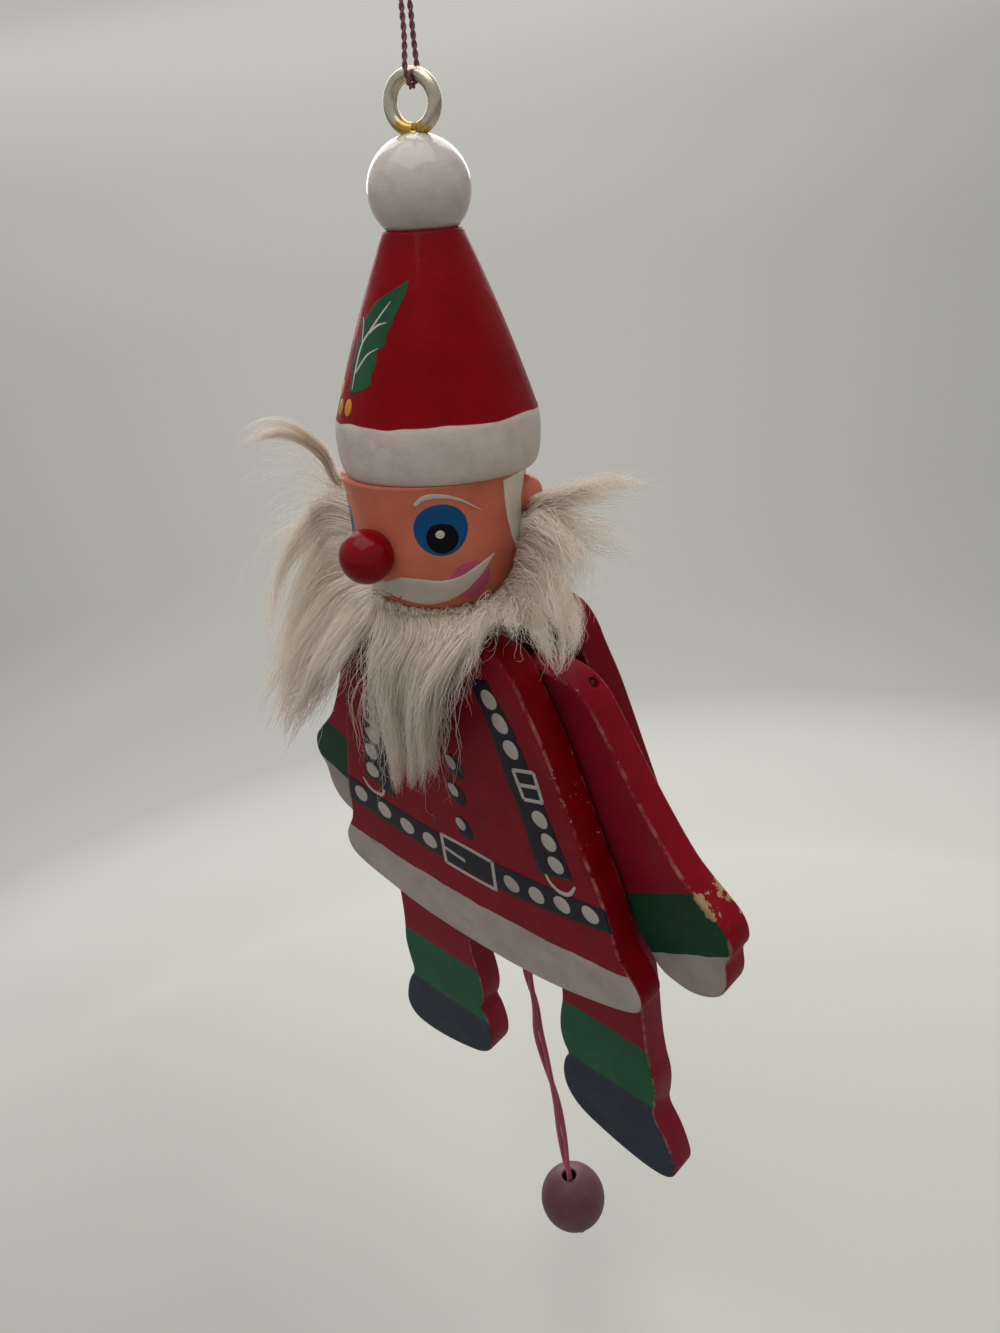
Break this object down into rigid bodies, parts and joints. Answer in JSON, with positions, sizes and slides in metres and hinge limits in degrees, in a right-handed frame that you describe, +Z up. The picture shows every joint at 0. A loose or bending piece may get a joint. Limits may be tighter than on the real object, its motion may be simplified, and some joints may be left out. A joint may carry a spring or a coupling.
{
  "type": "pull string jumping jack",
  "caption": "Painted plywood figure with a turned wooden head, tall hat, round nose and fur beard; pulling the beaded cord swings its arms and legs out.",
  "frame": {"origin": "centre of the screw eye's ring, where the figure hangs", "axes": "+Z up along the flat tunic boards, -Y out of the figure's front, +X to the viewer's right"},
  "size_m": [0.1081, 0.0426, 0.29],
  "materials": {
    "tunic_paint": "crimson gloss enamel on plywood",
    "hat_paint": "red gloss enamel on turned wood",
    "skin_paint": "peach satin enamel on turned wood",
    "white_paint": "off-white gloss enamel on turned wood",
    "nose_paint": "red gloss enamel on a wooden ball",
    "stocking_paint": "dark green satin enamel on plywood",
    "bare_wood": "bare beech",
    "bead_paint": "dull maroon stained bead",
    "eye_metal": "nickel plated brass wire, worn",
    "fur": "cream long pile faux fur",
    "red_cord": "twisted dark red cotton cord"
  },
  "bodies": {
    "figure": {"front_board": "tunic_paint", "back_board": "tunic_paint", "neck_block": "bare_wood", "neck_dowel": "bare_wood", "head": "skin_paint", "hat": "hat_paint", "pompom": "white_paint", "nose": "nose_paint", "ear_left": "skin_paint", "ear_right": "skin_paint", "beard": "fur", "screw_eye": "eye_metal", "hanging_loop": "red_cord", "loop_knot": "red_cord", "arm_peg_left": "bare_wood", "arm_peg_right": "bare_wood", "leg_peg_left": "bare_wood", "leg_peg_right": "bare_wood"},
    "arm_left": {"arm_left": "tunic_paint", "arm_tie_left": "red_cord"},
    "arm_right": {"arm_right": "tunic_paint", "arm_tie_right": "red_cord"},
    "leg_left": {"leg_left": "stocking_paint", "leg_tie_left": "red_cord"},
    "leg_right": {"leg_right": "stocking_paint", "leg_tie_right": "red_cord"},
    "pull": {"inner_cord": "red_cord", "string_knots": "red_cord", "pull_cord": "red_cord", "pull_bead": "bead_paint", "bead_knot": "red_cord", "arm_string": "red_cord", "leg_string": "red_cord"}
  },
  "joints": [
    {"name": "pull_slide", "type": "slide", "parent": "figure", "child": "pull", "axis": [0, 0, -1], "range_m": [0, 0.017], "deforming": ["arm_string", "leg_string"]},
    {"name": "arm_right_swing", "type": "hinge", "parent": "figure", "child": "arm_right", "pos_m": [0.02862, -0.01622, -0.0978], "axis": [0, -1, 0], "range_deg": [0, 56.7]},
    {"name": "arm_left_swing", "type": "hinge", "parent": "figure", "child": "arm_left", "pos_m": [-0.01038, -0.01622, -0.0978], "axis": [0, 1, 0], "range_deg": [0, 56.7]},
    {"name": "leg_right_swing", "type": "hinge", "parent": "figure", "child": "leg_right", "pos_m": [0.02912, -0.01622, -0.1383], "axis": [0, -1, 0], "range_deg": [0, 58.6]},
    {"name": "leg_left_swing", "type": "hinge", "parent": "figure", "child": "leg_left", "pos_m": [-0.01088, -0.01622, -0.1413], "axis": [0, 1, 0], "range_deg": [0, 47]}
  ],
  "couplings": [
    {"joint": "arm_right_swing", "follows": "pull_slide", "rad_per_m": 58},
    {"joint": "arm_left_swing", "follows": "pull_slide", "rad_per_m": 58},
    {"joint": "leg_right_swing", "follows": "pull_slide", "rad_per_m": 60},
    {"joint": "leg_left_swing", "follows": "pull_slide", "rad_per_m": 48}
  ]
}
